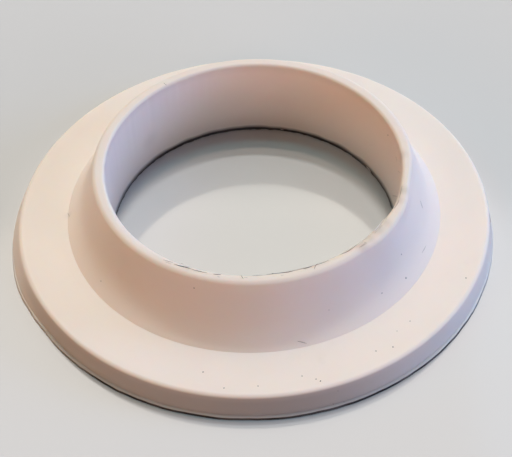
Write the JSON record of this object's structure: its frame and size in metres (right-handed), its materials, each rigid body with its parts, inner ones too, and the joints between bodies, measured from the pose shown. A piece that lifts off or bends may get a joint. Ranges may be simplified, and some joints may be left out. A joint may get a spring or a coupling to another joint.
{
  "type": "flanged tapered rubber gasket",
  "caption": "Moulded rubber sealing ring: a flat round flange with a short, hollow-sided tapered neck around a straight bore.",
  "frame": {"origin": "on the bore's axis, level with the flat underside that the ring rests on", "axes": "+Z runs along the bore's axis from the flange towards the lip; X and Y are any two square directions, since the ring is round"},
  "size_m": [0.0698, 0.0698, 0.0127],
  "materials": {
    "rubber": "matt, finely grained, pale pinkish beige"
  },
  "bodies": {
    "root": {"gasket": "rubber"}
  },
  "joints": []
}
